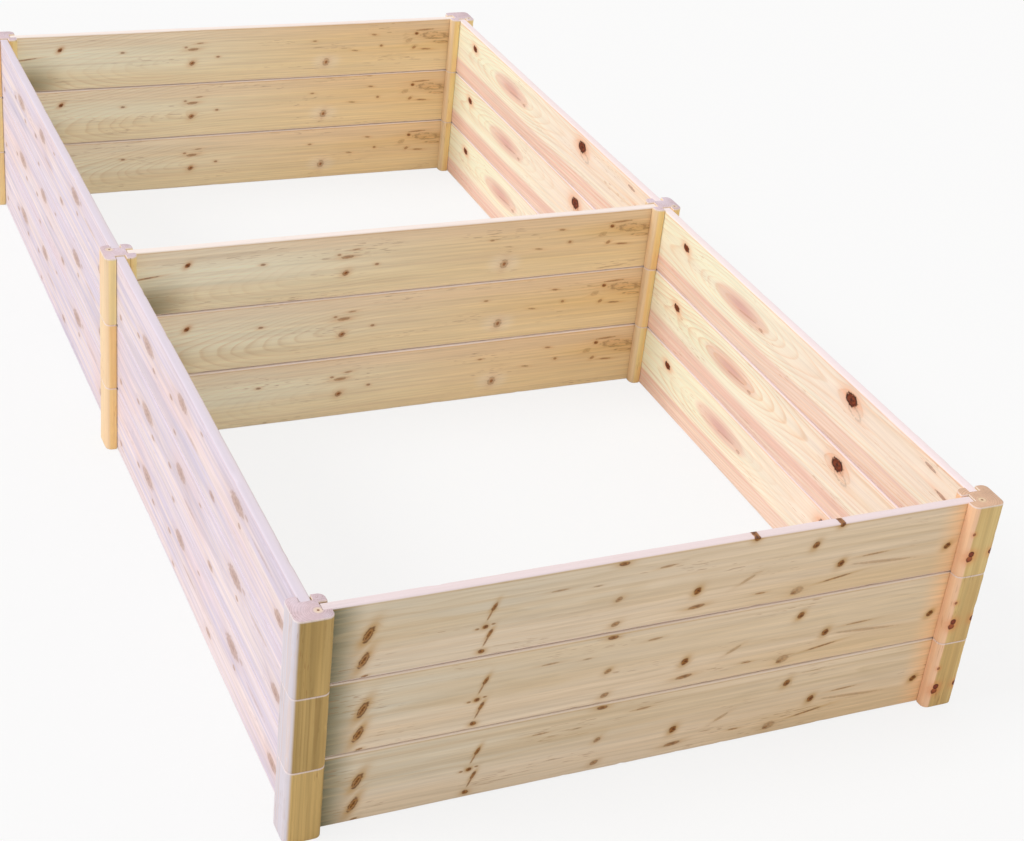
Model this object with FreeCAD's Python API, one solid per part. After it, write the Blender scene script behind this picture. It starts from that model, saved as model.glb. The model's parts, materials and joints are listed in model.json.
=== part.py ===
import FreeCAD, Part
import os
from FreeCAD import Vector

# A raised garden bed of pale softwood: two square bays in line, three tiers high.
# Every tier is a ring of short grooved posts with boards slid into the grooves from above,
# and the tiers are stacked on loose dowel pins, so the whole bed goes together without tools.
# Millimetres. +X is across the bed, +Y runs from the front end to the back end, +Z is up.
# The origin is on the ground, in the middle of the bed.

# ---- driving dimensions ----
POST_SPACING = 1165.0       # from post centre to post centre, across the bed and along each bay
TIER_HEIGHT = 140.0         # height of one post, and so the rise of one tier
POST_SIDE = 62.0            # square section of a post
POST_CORNER_RADIUS = 12.0   # rounding of a post's long corners
POST_ARRIS = 1.0            # small bevel round both ends of a post
BOARD_HEIGHT = 138.0        # a board stops this high, a little below the post's top
BOARD_THICKNESS = 19.0
BOARD_EDGE_RADIUS = 3.0     # rounding of a board's long edges
GROOVE_DEPTH = 14.5         # how far a board's end goes into a post
GROOVE_SIDE_GAP = 0.5       # free space on each face of a board in its groove
GROOVE_END_GAP = 1.0        # free space past each end of a board
DOWEL_DIAMETER = 12.0
DOWEL_LENGTH = 60.0         # half in the post below, half in the post above
DOWEL_END_BEVEL = 1.5
DOWEL_HOLE_GAP = 0.1        # free space round a dowel, on the radius
DOWEL_HOLE_SPARE = 1.0      # how much deeper each hole is than its half of the dowel

# ---- worked out from them ----
HALF_POST = POST_SIDE / 2
GROOVE_WIDTH = BOARD_THICKNESS + 2 * GROOVE_SIDE_GAP
GROOVE_FLOOR = HALF_POST - GROOVE_DEPTH          # from a post's centre to the bottom of a groove
BOARD_LENGTH = POST_SPACING - 2 * (GROOVE_FLOOR + GROOVE_END_GAP)
HOLE_RADIUS = DOWEL_DIAMETER / 2 + DOWEL_HOLE_GAP
HOLE_DEPTH = DOWEL_LENGTH / 2 + DOWEL_HOLE_SPARE
FLATNESS = 1e-6                                  # tolerance when picking edges by height

TIERS = ("bottom", "middle", "top")
ROW_Y = {"front": -POST_SPACING, "centre": 0.0, "back": POST_SPACING}   # front end, divider, back end
SIDE_X = {"left": -POST_SPACING / 2, "right": POST_SPACING / 2}
INWARD = {"left": (1, 0), "right": (-1, 0)}       # direction from a post to its cross board
ALONG = {"front": ((0, 1),), "centre": ((0, -1), (0, 1)), "back": ((0, -1),)}
CROSS_BOARD = {"front": "front_board", "centre": "divider_board", "back": "back_board"}
BAY_Y = {"front": -POST_SPACING / 2, "back": POST_SPACING / 2}
STACK_JOINT = {"lower": TIER_HEIGHT, "upper": 2 * TIER_HEIGHT}


def rounded_rectangle(width, depth, radius):
    """A flat face centred on the origin: a rectangle whose corners are quarter circles."""
    half_w = width / 2
    half_d = depth / 2
    slant = radius * (1 - 0.5 ** 0.5)             # from the corner's square point to mid-arc, each way
    edges = []
    corners = ((1, -1), (1, 1), (-1, 1), (-1, -1))
    starts = []
    ends = []
    mids = []
    for sx, sy in corners:
        on_side = Vector(sx * half_w, sy * (half_d - radius), 0)
        on_end = Vector(sx * (half_w - radius), sy * half_d, 0)
        turns_from_end = sx * sy < 0              # going round anticlockwise
        starts.append(on_end if turns_from_end else on_side)
        ends.append(on_side if turns_from_end else on_end)
        mids.append(Vector(sx * (half_w - slant), sy * (half_d - slant), 0))
    for i in range(len(corners)):
        following = (i + 1) % len(corners)
        edges.append(Part.Arc(starts[i], mids[i], ends[i]).toShape())
        edges.append(Part.LineSegment(ends[i], starts[following]).toShape())
    return Part.Face(Part.Wire(edges))


def groove(direction):
    """The block removed for one groove: open at both ends, in the face that direction points to."""
    dx, dy = direction
    length = GROOVE_DEPTH + POST_SIDE             # runs well past the face
    near = GROOVE_FLOOR
    half_w = GROOVE_WIDTH / 2
    if dx:
        corner = Vector(near if dx > 0 else -near - length, -half_w, -TIER_HEIGHT)
        return Part.makeBox(length, GROOVE_WIDTH, 3 * TIER_HEIGHT, corner)
    corner = Vector(-half_w, near if dy > 0 else -near - length, -TIER_HEIGHT)
    return Part.makeBox(GROOVE_WIDTH, length, 3 * TIER_HEIGHT, corner)


def end_edges(post):
    """Every edge that lies in the plane of either end of a post."""
    picked = []
    for edge in post.Edges:
        box = edge.BoundBox
        at_foot = abs(box.ZMin) < FLATNESS and abs(box.ZMax) < FLATNESS
        at_head = abs(box.ZMin - TIER_HEIGHT) < FLATNESS and abs(box.ZMax - TIER_HEIGHT) < FLATNESS
        if at_foot or at_head:
            picked.append(edge)
    return picked


def make_post(directions, hole_in_foot, hole_in_head):
    """A post standing on the origin, with a groove for each direction and its dowel holes."""
    section = rounded_rectangle(POST_SIDE, POST_SIDE, POST_CORNER_RADIUS)
    post = section.extrude(Vector(0, 0, TIER_HEIGHT))
    for direction in directions:
        post = post.cut(groove(direction))
    post = post.makeChamfer(POST_ARRIS, end_edges(post))
    if hole_in_foot:
        post = post.cut(Part.makeCylinder(HOLE_RADIUS, HOLE_DEPTH, Vector(0, 0, 0)))
    if hole_in_head:
        foot_of_hole = Vector(0, 0, TIER_HEIGHT - HOLE_DEPTH)
        post = post.cut(Part.makeCylinder(HOLE_RADIUS, HOLE_DEPTH, foot_of_hole))
    return post


def make_board(along_x):
    """A board on the ground, centred on the origin, running across the bed or along it."""
    section = rounded_rectangle(BOARD_HEIGHT, BOARD_THICKNESS, BOARD_EDGE_RADIUS)
    board = section.extrude(Vector(0, 0, BOARD_LENGTH))
    # stand the section up: its width becomes the board's height, its depth the thickness
    board.rotate(Vector(0, 0, 0), Vector(0, 1, 0), 90)
    board.translate(Vector(-BOARD_LENGTH / 2, 0, BOARD_HEIGHT / 2))
    if not along_x:
        board.rotate(Vector(0, 0, 0), Vector(0, 0, 1), 90)
    return board


def make_dowel():
    """A dowel pin standing on the origin's plane by its middle, with both ends bevelled."""
    pin = Part.makeCylinder(DOWEL_DIAMETER / 2, DOWEL_LENGTH, Vector(0, 0, -DOWEL_LENGTH / 2))
    rims = [edge for edge in pin.Edges if edge.BoundBox.ZLength < FLATNESS]
    return pin.makeChamfer(DOWEL_END_BEVEL, rims)


def write(shape, node, place):
    """Moves a piece to its place and writes it under its node's name."""
    piece = shape.copy()
    piece.translate(Vector(*place))
    piece.exportStep("parts/" + node + ".step")


def write_posts():
    """Six posts in each tier: grooved on two faces at a corner, on three at the divider."""
    for tier, tier_name in enumerate(TIERS):
        for row in ROW_Y:
            for side in SIDE_X:
                directions = (INWARD[side],) + ALONG[row]
                post = make_post(directions, tier > 0, tier < len(TIERS) - 1)
                node = f"{tier_name}_{row}_{side}_post"
                write(post, node, (SIDE_X[side], ROW_Y[row], tier * TIER_HEIGHT))


def write_boards():
    """Seven boards in each tier: three across the bed, and one each side of each bay."""
    cross_board = make_board(True)
    side_board = make_board(False)
    for tier, tier_name in enumerate(TIERS):
        base = tier * TIER_HEIGHT
        for row in ROW_Y:
            write(cross_board, f"{tier_name}_{CROSS_BOARD[row]}", (0, ROW_Y[row], base))
        for side in SIDE_X:
            for bay in BAY_Y:
                node = f"{tier_name}_{bay}_bay_{side}_board"
                write(side_board, node, (SIDE_X[side], BAY_Y[bay], base))


def write_dowels():
    """One dowel pin between each pair of stacked posts, half in each."""
    dowel = make_dowel()
    for joint in STACK_JOINT:
        for row in ROW_Y:
            for side in SIDE_X:
                node = f"{joint}_{row}_{side}_dowel"
                write(dowel, node, (SIDE_X[side], ROW_Y[row], STACK_JOINT[joint]))


os.makedirs("parts", exist_ok=True)
write_posts()
write_boards()
write_dowels()
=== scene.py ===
"""Dresses the raised garden bed: planed pine boards, rounded posts, fluted dowel pins, floor,
light and camera.

Every piece of wood has its own grain frame, kept in the mesh as two attributes:
  grain : (along the grain, up the face, into the wood), in metres, for a board
          (up the post, across from the pith, back from the pith), in metres, for a post or a pin
  piece : (seed, how far into the lit left band, tint), so that pieces of one kind differ
"""

import json
import math

import bpy
import numpy as np
from mathutils import Matrix
from mathutils.geometry import tessellate_polygon


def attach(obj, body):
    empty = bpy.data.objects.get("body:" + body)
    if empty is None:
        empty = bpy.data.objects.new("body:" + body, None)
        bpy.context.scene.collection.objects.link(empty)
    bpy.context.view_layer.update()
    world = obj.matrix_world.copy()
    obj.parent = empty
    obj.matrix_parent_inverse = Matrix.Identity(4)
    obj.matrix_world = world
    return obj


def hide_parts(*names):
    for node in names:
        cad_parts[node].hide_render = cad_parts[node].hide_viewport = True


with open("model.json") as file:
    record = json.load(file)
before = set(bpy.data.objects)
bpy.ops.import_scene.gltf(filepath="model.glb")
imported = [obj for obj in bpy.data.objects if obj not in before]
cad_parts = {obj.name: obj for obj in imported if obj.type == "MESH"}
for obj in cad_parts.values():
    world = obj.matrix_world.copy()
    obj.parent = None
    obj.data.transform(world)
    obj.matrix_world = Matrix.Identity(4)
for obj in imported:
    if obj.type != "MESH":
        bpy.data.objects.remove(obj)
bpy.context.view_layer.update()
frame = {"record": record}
bodies = frame["record"]["behaviour"]["bodies"]
body_of = {node: body for body, nodes in bodies.items() for node in nodes}

# ---- sizes the pieces share with the frame, in metres ----
POST_SPACING = 1.165
TIER = 0.140
POST_HALF = 0.031
POST_ROUNDING = 0.012
GROOVE_HALF = 0.010
GROOVE_FLOOR = 0.0165
HOLE_RADIUS = 0.0061
HOLE_DEPTH = 0.031
BOARD_LENGTH = 1.130
BOARD_HEIGHT = 0.138
BOARD_THICK = 0.019
BOARD_ROUNDING = 0.003
PIN_HALF = 0.006
PIN_LENGTH = 0.060
PIN_BEVEL = 0.0015

# ---- how finely the pieces are drawn: counts of points or steps ----
BOARD_STATIONS = 132      # along a board, besides those at its ends
BOARD_ROWS = 18           # up each face of a board
BOARD_EDGE_STEPS = 5      # round each long edge of a board
POST_LEVELS = 19          # up a post, besides those at its ends
POST_CORNER_STEPS = 7     # round each corner of a post
HOLE_POINTS = 24
PIN_POINTS = 96
PIN_FLUTES = 16

# ---- how far worked wood strays from true, in metres ----
BOARD_ARRIS = 0.0006      # bevel that the saw's burr leaves round a board's ends
BOARD_END_ZONE = 0.002    # the even stations begin this far from each end
FREE_LENGTH = 0.12        # a board is true in its grooves, and strays fully this far from its ends
CUP = 0.0004
BOW = 0.0007
FACE_RIPPLE = 0.00012
EDGE_ZONE = 0.006         # easing fades out this far from a long edge
EDGE_EASING = 0.0004
EDGE_EASING_WANDER = 0.00035
BOARD_DENTS = 5           # on each long edge
BOARD_DENT_WIDTH = (0.003, 0.010)
BOARD_DENT_DEPTH = (0.0004, 0.0013)
POST_ARRIS = 0.001        # bevel round a post's ends, with one step at POST_ARRIS_STEP
POST_ARRIS_STEP = 0.0004
POST_END_ZONE = 0.004
MOUTH_EASING = 0.0022     # the lips of a groove begin to turn in this far from its mouth
MOUTH_NIP = 0.0004        # and this far from it they are half turned
CORNER_WORN = 0.00025     # how deep a post's corners are worn on average, and how that wanders
CORNER_WANDER = 0.0003
POST_DENTS = 2            # on each corner of a post
POST_DENT_WIDTH = (0.003, 0.008)
POST_DENT_DEPTH = (0.0003, 0.0009)
POST_FACE_WAVE = 0.00012
HOLE_MOUTH = 0.0005       # bevel round a dowel hole
FLUTE_DEPTH = 0.00035

TIERS = ("bottom", "middle", "top")
ROW_Y = {"front": -POST_SPACING, "centre": 0.0, "back": POST_SPACING}
SIDE_X = {"left": -POST_SPACING / 2, "right": POST_SPACING / 2}


# ---- Shapes ----

def wave(t, rng, longest, count):
    """A smooth random line, about +-1 high: the sum of `count` sine waves over t, the first
    `longest` long, each shorter and lower than the last, divided by the sum of their heights."""
    shorter, lower = 1.9, 0.6
    total = np.zeros_like(t)
    size = 0.0
    for k in range(count):
        length = longest / shorter ** k
        height = lower ** k
        total += height * np.sin(2 * math.pi * (t / length + rng.random()))
        size += height
    return total / size


def rounded_section(height, thick, radius, rows, arc):
    """Points round a board's end: the sides of a rectangle, the long ones split in `rows` and the
    short ones in three, and at each corner a quarter circle of `arc` steps."""
    points = []
    corners = ((0, 0, -math.pi / 2), (0, thick, math.pi), (height, thick, math.pi / 2),
               (height, 0, 0.0))
    for i, (up, deep, start) in enumerate(corners):
        cu = up + radius * (1 if up == 0 else -1)
        cd = deep + radius * (1 if deep == 0 else -1)
        turn = start - np.linspace(0, math.pi / 2, arc + 1)
        points.append(np.stack([cu + radius * np.cos(turn), cd + radius * np.sin(turn)], 1))
        nu, nd, nstart = corners[(i + 1) % 4]
        goal = np.array([nu + radius * (1 if nu == 0 else -1) + radius * math.cos(nstart),
                         nd + radius * (1 if nd == 0 else -1) + radius * math.sin(nstart)])
        is_face = i % 2 == 1
        steps = rows if is_face else 3
        share = np.linspace(0, 1, steps + 1)[1:-1, None]
        points.append(points[-1][-1] * (1 - share) + goal * share)
    return np.concatenate(points)


def tube_faces(rings, around, flip):
    """Quads that join each ring of points to the next, for a form carried along a path."""
    i = np.arange(rings - 1)[:, None] * around
    j = np.arange(around)[None, :]
    k = (j + 1) % around
    quads = np.stack([i + j, i + k, i + around + k, i + around + j], -1).reshape(-1, 4)
    return quads[:, ::-1] if flip else quads


def put_mesh(name, points, faces, grain, piece, material, sharp_degrees=35):
    """Makes the object: points and faces as given, its grain frame and seed as attributes, smooth
    but for edges that turn by more than sharp_degrees."""
    mesh = bpy.data.meshes.new(name)
    sizes = np.array([len(f) for f in faces])
    mesh.vertices.add(len(points))
    mesh.vertices.foreach_set("co", np.ascontiguousarray(points, np.float32).ravel())
    mesh.loops.add(int(sizes.sum()))
    mesh.loops.foreach_set("vertex_index", np.concatenate([np.asarray(f, np.int32) for f in faces]))
    mesh.polygons.add(len(faces))
    mesh.polygons.foreach_set("loop_start",
                              np.concatenate([[0], np.cumsum(sizes)[:-1]]).astype(np.int32))
    mesh.update(calc_edges=True)
    for label, values in (("grain", grain), ("piece", piece)):
        layer = mesh.attributes.new(label, "FLOAT_VECTOR", "POINT")
        layer.data.foreach_set("vector", np.ascontiguousarray(values, np.float32).ravel())
    mesh.validate()
    mesh.shade_smooth()
    mesh.set_sharp_from_angle(angle=math.radians(sharp_degrees))
    mesh.materials.append(material)
    obj = bpy.data.objects.new(name, mesh)
    bpy.context.scene.collection.objects.link(obj)
    return obj


def stand_for(obj, node):
    """The modelled piece takes its CAD node's place and body."""
    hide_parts(node)
    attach(obj, body_of[node])


def make_board(node, along_x, corner, seed, material, notches=()):
    """A planed board: a rounded section carried along the grain, at stations from 0 to its length.
    Cup: each face bends by the square of the height from its middle. Bow: a slow wave along the
    board moves it sideways. Ripple: a sine up the face times a wave along it. Long edges: every
    point is drawn towards the board's middle by a wave along the board plus bell-shaped dents.
    corner : x, y, z of the board's lowest corner of the first face
    notches : (where along, half width, depth) of worn places in the top edge of the first face"""
    rng = np.random.default_rng(seed)
    section = rounded_section(BOARD_HEIGHT, BOARD_THICK, BOARD_ROUNDING, BOARD_ROWS,
                              BOARD_EDGE_STEPS)
    around = len(section)
    even = np.linspace(BOARD_END_ZONE, BOARD_LENGTH - BOARD_END_ZONE, BOARD_STATIONS)
    stations = np.concatenate([[0.0, BOARD_ARRIS], even,
                               [BOARD_LENGTH - BOARD_ARRIS, BOARD_LENGTH]])
    along = np.repeat(stations, around).reshape(-1, around)
    up = np.tile(section[:, 0], (len(stations), 1))
    deep = np.tile(section[:, 1], (len(stations), 1))
    grain = np.stack([along, up, deep], -1).reshape(-1, 3)

    middle_up = BOARD_HEIGHT / 2
    middle_deep = BOARD_THICK / 2
    from_end = np.minimum(stations, BOARD_LENGTH - stations)[:, None]
    free = np.clip(from_end / FREE_LENGTH, 0, 1)
    cup = CUP * rng.choice([-1, 1]) * ((up - middle_up) / middle_up) ** 2
    bow_length, ripple_length, ripples_up = 1.4, 0.3, 150
    bow = BOW * wave(stations, rng, bow_length, 2)[:, None]
    ripple_up = np.sin(up * ripples_up + 6 * rng.random())
    ripple = FACE_RIPPLE * ripple_up * wave(stations, rng, ripple_length, 3)[:, None]
    shift = (cup + bow + ripple) * free
    # the four long edges, which the easing draws in
    near_up = np.clip(1 - (middle_up - np.abs(up - middle_up)) / EDGE_ZONE, 0, 1)
    near_deep = np.clip(1 - (middle_deep - np.abs(deep - middle_deep)) / EDGE_ZONE, 0, 1)
    corner_weight = (near_up * near_deep) ** 1.5
    edge_id = (up > middle_up).astype(int) * 2 + (deep > middle_deep).astype(int)
    easing = np.zeros_like(up)
    easing_length, dent_margin, top_of_first_face = 0.35, 0.05, 2
    for edge in range(4):
        line = EDGE_EASING + EDGE_EASING_WANDER * wave(stations, rng, easing_length, 5)
        for _ in range(BOARD_DENTS):
            at = rng.uniform(dent_margin, BOARD_LENGTH - dent_margin)
            width, depth = rng.uniform(*BOARD_DENT_WIDTH), rng.uniform(*BOARD_DENT_DEPTH)
            line = line + depth * np.exp(-((stations - at) / width) ** 2)
        for at, width, depth in (notches if edge == top_of_first_face else ()):
            line = line + depth * np.exp(-((stations - at) / width) ** 4)
        easing += np.where(edge_id == edge, line[:, None], 0)
    easing *= corner_weight * free
    up = up - np.sign(up - middle_up) * easing
    deep = deep + shift - np.sign(deep - middle_deep) * easing
    # both ends: the saw's arris, one ring drawn in
    for ring in (0, -1):
        up[ring] = middle_up + (up[ring] - middle_up) * (1 - BOARD_ARRIS / middle_up)
        deep[ring] = middle_deep + (deep[ring] - middle_deep) * (1 - BOARD_ARRIS / middle_deep)

    x0, y0, z0 = corner
    if along_x:
        points = np.stack([x0 + along, y0 + deep, z0 + up], -1)
    else:
        points = np.stack([x0 + deep, y0 + along, z0 + up], -1)
    rings = len(stations)
    faces = list(tube_faces(rings, around, flip=not along_x))
    first = np.arange(around)
    last = first + (rings - 1) * around
    faces.append(first[::-1] if along_x else first)
    faces.append(last if along_x else last[::-1])
    piece = np.tile([rng.random(), 0.0, 0.0], (rings * around, 1))
    obj = put_mesh(node.replace("_board", "_pine_board"), points.reshape(-1, 3), faces, grain,
                   piece, material)
    stand_for(obj, node)


def post_outline(directions):
    """A post's section, anticlockwise from above: a square with rounded corners, and a groove with
    eased lips in each face in directions."""
    h, r, g, f = POST_HALF, POST_ROUNDING, GROOVE_HALF, GROOVE_FLOOR
    lip, nip = MOUTH_EASING, MOUTH_NIP
    between = 0.008
    points = []
    for quarter, normal in enumerate(((1, 0), (0, 1), (-1, 0), (0, -1))):
        turn = quarter * math.pi / 2
        if normal in directions:
            side = [(h, -h + r), (h, -g - lip), (h - nip, -g - nip), (h - lip, -g), (f, -g), (f, 0),
                    (f, g), (h - lip, g), (h - nip, g + nip), (h, g + lip), (h, h - r)]
        else:
            side = [(h, -h + r), (h, -between), (h, 0), (h, between), (h, h - r)]
        bend = np.linspace(0, math.pi / 2, POST_CORNER_STEPS + 1)[1:-1]
        side += [(h - r + r * math.cos(a), h - r + r * math.sin(a)) for a in bend]
        c, s = math.cos(turn), math.sin(turn)
        points += [(x * c - y * s, x * s + y * c) for x, y in side]
    return np.array(points)


def make_post(node, directions, place, seed, pith, lit_from, tint, holes, material):
    """A short post: its grooved outline carried up by one tier. The outline is moved outwards by
    a wave up the post less bell-shaped dents on the rounded corners, and by a finer wave on the
    faces. Both ends have a sawn arris, and there is a hole in each end that meets another post.
    pith : where the growth rings' middle is, from the post's centre
    lit_from : how far left of the centre the lit band begins
    holes : whether the foot and the head have a dowel hole"""
    rng = np.random.default_rng(seed)
    outline = post_outline(directions)
    around = len(outline)
    foot = [0.0, POST_ARRIS_STEP, POST_ARRIS]
    head = [TIER - POST_ARRIS, TIER - POST_ARRIS_STEP, TIER]
    even = np.linspace(POST_END_ZONE, TIER - POST_END_ZONE, POST_LEVELS)
    heights = np.concatenate([foot, even, head])
    draw_in = np.interp(heights, foot + head,
                        [POST_ARRIS, POST_ARRIS_STEP, 0, 0, POST_ARRIS_STEP, POST_ARRIS])
    flat = np.tile(outline, (len(heights), 1, 1))
    # outward lean of every outline point, from its neighbours
    tangent = np.roll(outline, -1, 0) - np.roll(outline, 1, 0)
    normal = np.stack([tangent[:, 1], -tangent[:, 0]], 1)
    normal /= np.linalg.norm(normal, axis=1)[:, None]
    past_face = np.linalg.norm(outline, axis=1) - POST_HALF
    corner_begins, corner_grows = 0.0015, 0.004
    corner = np.clip((past_face - corner_begins) / corner_grows, 0, 1)
    hair = 1e-5
    in_groove = (np.max(np.abs(outline), axis=1) < POST_HALF - hair) & (corner < 0.5)
    quarter = np.floor_divide(np.arctan2(outline[:, 1], outline[:, 0]), math.pi / 2).astype(int) % 4
    wander = np.zeros((len(heights), around))
    corner_length, face_length = 0.16, 0.09
    for q in range(4):
        line = CORNER_WANDER * wave(heights, rng, corner_length, 4) - CORNER_WORN
        for _ in range(POST_DENTS):
            at, depth = rng.uniform(0, TIER), rng.uniform(*POST_DENT_DEPTH)
            width = rng.uniform(*POST_DENT_WIDTH)
            line = line - depth * np.exp(-((heights - at) / width) ** 2)
        wander += np.where(quarter == q, line[:, None] * corner, 0)
    face_line = 1 + wave(heights, rng, face_length, 3)[:, None]
    wander += np.where(in_groove, 0, (1 - corner) * -POST_FACE_WAVE * face_line)
    flat = np.clip(flat + normal * (wander - draw_in[:, None])[:, :, None], -POST_HALF, POST_HALF)
    level = np.repeat(heights, around).reshape(-1, around)
    points = np.concatenate([flat, level[:, :, None]], -1).reshape(-1, 3)
    rings = len(heights)
    faces = list(tube_faces(rings, around, flip=False))

    turn = np.linspace(0, 2 * math.pi, HOLE_POINTS + 1)[:-1]
    hole_rings = ((HOLE_RADIUS + HOLE_MOUTH, 0.0), (HOLE_RADIUS, HOLE_MOUTH),
                  (HOLE_RADIUS, HOLE_DEPTH))
    for at_top, level0, has_hole in ((False, 0.0, holes[0]), (True, TIER, holes[1])):
        edge = np.arange(around) + (rings - 1) * around * at_top
        loops = [edge]
        inward = -1 if at_top else 1
        if has_hole:
            start = len(points)
            hole = []
            for radius, depth in hole_rings:
                level_here = np.full(HOLE_POINTS, level0 + inward * depth)
                hole.append(np.stack([radius * np.cos(turn), radius * np.sin(turn), level_here], 1))
            points = np.concatenate([points] + hole)
            rim = np.arange(HOLE_POINTS) + start
            loops.append(rim)
            faces += list(tube_faces(len(hole_rings), HOLE_POINTS, flip=not at_top) + start)
            floor = rim + HOLE_POINTS * (len(hole_rings) - 1)
            faces.append(floor if at_top else floor[::-1])
        # the end itself: triangles between the outline and the hole's rim
        order = np.concatenate(loops)
        flat_loops = [[(points[i][0], points[i][1], 0.0) for i in loop] for loop in loops]
        for tri in tessellate_polygon(flat_loops):
            a, b, c = (order[i] for i in tri)
            ab, ac = points[b][:2] - points[a][:2], points[c][:2] - points[a][:2]
            upward = ab[0] * ac[1] - ab[1] * ac[0] > 0
            faces.append(np.array([a, b, c] if upward == at_top else [a, c, b]))

    grain = np.stack([points[:, 2], points[:, 0] - pith[0], points[:, 1] - pith[1]], 1)
    # 0 where the lit band of the left side begins, 1 where it is full
    band_grows = 0.005
    left_side = (-points[:, 0] - lit_from) / band_grows
    piece = np.stack([np.full(len(points), rng.random()), left_side, np.full(len(points), tint)], 1)
    obj = put_mesh(node.replace("_post", "_pine_post"), points + np.array(place), faces, grain,
                   piece, material)
    stand_for(obj, node)


def make_pin(node, place, seed, material):
    """A dowel pin: a circle carried up its length, with both ends chamfered. Between the ends the
    radius loses the flutes: a sixth power of a cosine of the turn, so that they are narrow."""
    rng = np.random.default_rng(seed)
    turn = np.linspace(0, 2 * math.pi, PIN_POINTS + 1)[:-1]
    flutes = FLUTE_DEPTH * np.abs(np.cos(PIN_FLUTES / 2 * turn)) ** 6
    half = PIN_LENGTH / 2
    upper = [0, half / 2, half - 2 * PIN_BEVEL, half - PIN_BEVEL, half]
    heights = np.array([-h for h in upper[:0:-1]] + upper)
    radius = np.full(len(heights), PIN_HALF)
    radius[[0, -1]] -= PIN_BEVEL
    fluted = np.ones(len(heights))
    fluted[[0, 1, -2, -1]] = 0
    r = radius[:, None] - fluted[:, None] * flutes[None, :]
    level = np.repeat(heights, PIN_POINTS).reshape(-1, PIN_POINTS)
    points = np.stack([r * np.cos(turn), r * np.sin(turn), level], -1).reshape(-1, 3)
    faces = list(tube_faces(len(heights), PIN_POINTS, flip=False))
    faces.append(np.arange(PIN_POINTS)[::-1])
    faces.append(np.arange(PIN_POINTS) + PIN_POINTS * (len(heights) - 1))
    pith_across, pith_back = -0.03, -0.01
    grain = np.stack([points[:, 2] + rng.random(), points[:, 0] - pith_across,
                      points[:, 1] - pith_back], 1)
    piece = np.tile([rng.random(), 0.0, 0.5], (len(points), 1))
    obj = put_mesh(node.replace("_dowel", "_dowel_pin"), points + np.array(place), faces, grain,
                   piece, material, sharp_degrees=25)
    stand_for(obj, node)


# ---- Wood finishes ----

class Recipe:
    """Adds shader nodes to a tree. Any input may be a socket, a number, a vector or a colour."""

    def __init__(self, tree):
        self.tree = tree

    def feed(self, socket, value):
        if isinstance(value, bpy.types.NodeSocket):
            self.tree.links.new(value, socket)
        elif value is not None:
            socket.default_value = value

    def node(self, kind, inputs=None, **settings):
        made = self.tree.nodes.new(kind)
        for key, value in settings.items():
            setattr(made, key, value)
        for key, value in (inputs or {}).items():
            self.feed(made.inputs[key], value)
        return made

    def math(self, operation, a, b=None, c=None):
        made = self.node("ShaderNodeMath", operation=operation)
        for socket, value in zip(made.inputs, (a, b, c)):
            self.feed(socket, value)
        return made.outputs[0]

    def add(self, *terms):
        total = terms[0]
        for term in terms[1:]:
            total = self.math("ADD", total, term)
        return total

    def times(self, *terms):
        total = terms[0]
        for term in terms[1:]:
            total = self.math("MULTIPLY", total, term)
        return total

    def minus(self, a, b):
        return self.math("SUBTRACT", a, b)

    def length(self, a, b):
        """The straight distance from two steps at right angles."""
        return self.math("SQRT", self.add(self.times(a, a), self.times(b, b)))

    def step(self, value, low, high, top=1.0):
        """Rises smoothly from 0 at low to top at high, or falls where low is the larger."""
        falls = low > high
        a, b = (high, low) if falls else (low, high)
        made = self.node("ShaderNodeMapRange", {"Value": value, "From Min": a, "From Max": b,
                                                "To Min": top if falls else 0.0,
                                                "To Max": 0.0 if falls else top},
                         interpolation_type="SMOOTHSTEP", clamp=True)
        return made.outputs[0]

    def hump(self, value, centre, width):
        """A bell curve: 1 at centre, falling to about a third at width."""
        off = self.math("DIVIDE", self.minus(value, centre), width)
        return self.math("POWER", math.e, self.times(off, off, -1.0))

    def vector(self, x, y, z):
        return self.node("ShaderNodeCombineXYZ", {"X": x, "Y": y, "Z": z}).outputs[0]

    def noise(self, vector, factors, detail=0.0, rough=0.5):
        """Noise from 0 to 1, about 0.5, over the grain frame; factors are cells a metre."""
        stretched = self.node("ShaderNodeVectorMath", {0: vector, 1: factors},
                              operation="MULTIPLY").outputs[0]
        made = self.node("ShaderNodeTexNoise",
                         {"Vector": stretched, "Scale": 1.0, "Detail": detail, "Roughness": rough})
        return made.outputs["Fac"]

    def mix(self, share, a, b, blend="MIX"):
        made = self.node("ShaderNodeMix", data_type="RGBA", blend_type=blend, clamp_factor=True)
        for key, value in ((0, share), (6, a), (7, b)):
            self.feed(made.inputs[key], value)
        return made.outputs[2]

    def shade(self, colour, level):
        """The colour, lighter or darker by a plain level."""
        return self.mix(1.0, colour, self.vector(level, level, level), "MULTIPLY")

    def curve(self, value, stops):
        """A grey ramp through (place, level) stops."""
        made = self.node("ShaderNodeValToRGB", {"Fac": value})
        ramp = made.color_ramp
        while len(ramp.elements) < len(stops):
            ramp.elements.new(0.5)
        for element, (place, level) in zip(ramp.elements, stops):
            element.position = place
            element.color = (level, level, level, 1)
        return made.outputs[0]


def paint(red, green, blue):
    """A colour as the eye reads it, 0 to 255, turned into the linear values that shaders use."""
    share = np.array([red, green, blue]) / 255
    linear = np.where(share <= 0.04045, share / 12.92, ((share + 0.055) / 1.055) ** 2.4)
    return tuple(float(v) for v in linear) + (1.0,)


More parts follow.
